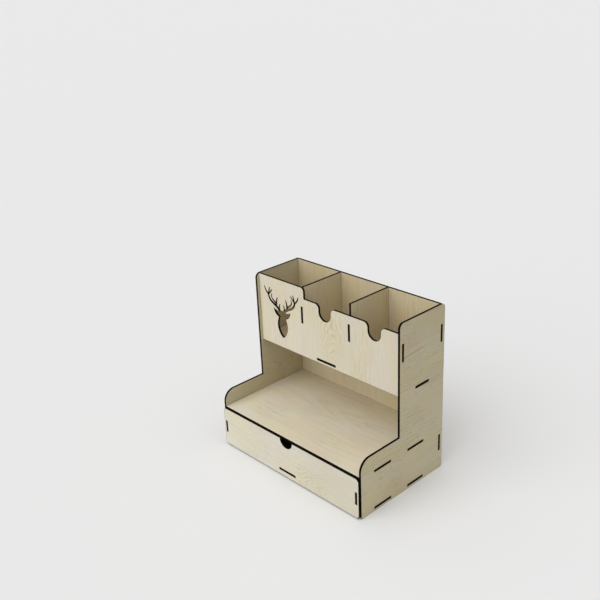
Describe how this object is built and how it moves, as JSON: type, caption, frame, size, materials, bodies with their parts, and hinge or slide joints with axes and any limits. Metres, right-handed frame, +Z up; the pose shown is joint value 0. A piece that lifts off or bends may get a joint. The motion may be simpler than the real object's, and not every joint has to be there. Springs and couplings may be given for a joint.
{
  "type": "desk pen holder",
  "caption": "Stepped plywood desk organizer of tab-and-slot panels: pen compartments behind a notched front with a stag cut-out, an open tray and a sliding drawer.",
  "frame": {"origin": "on the desk, under the middle of the organizer's width and depth", "axes": "+X to the right seen from the front, +Y to the back, +Z up"},
  "size_m": [0.25, 0.155, 0.23],
  "materials": {
    "plywood": "raw light plywood with dark laser-burnt edges"
  },
  "bodies": {
    "carcass": {"left_side_panel": "plywood", "right_side_panel": "plywood", "back_panel": "plywood", "base_panel": "plywood", "tray_shelf": "plywood", "pen_box_floor": "plywood", "pen_box_front": "plywood", "left_divider": "plywood", "right_divider": "plywood"},
    "drawer": {"drawer_front": "plywood", "drawer_left_side": "plywood", "drawer_right_side": "plywood", "drawer_back": "plywood", "drawer_bottom": "plywood"}
  },
  "joints": [
    {"name": "drawer_slide", "type": "slide", "parent": "carcass", "child": "drawer", "axis": [0, -1, 0], "range_m": [0, 0.12]}
  ]
}
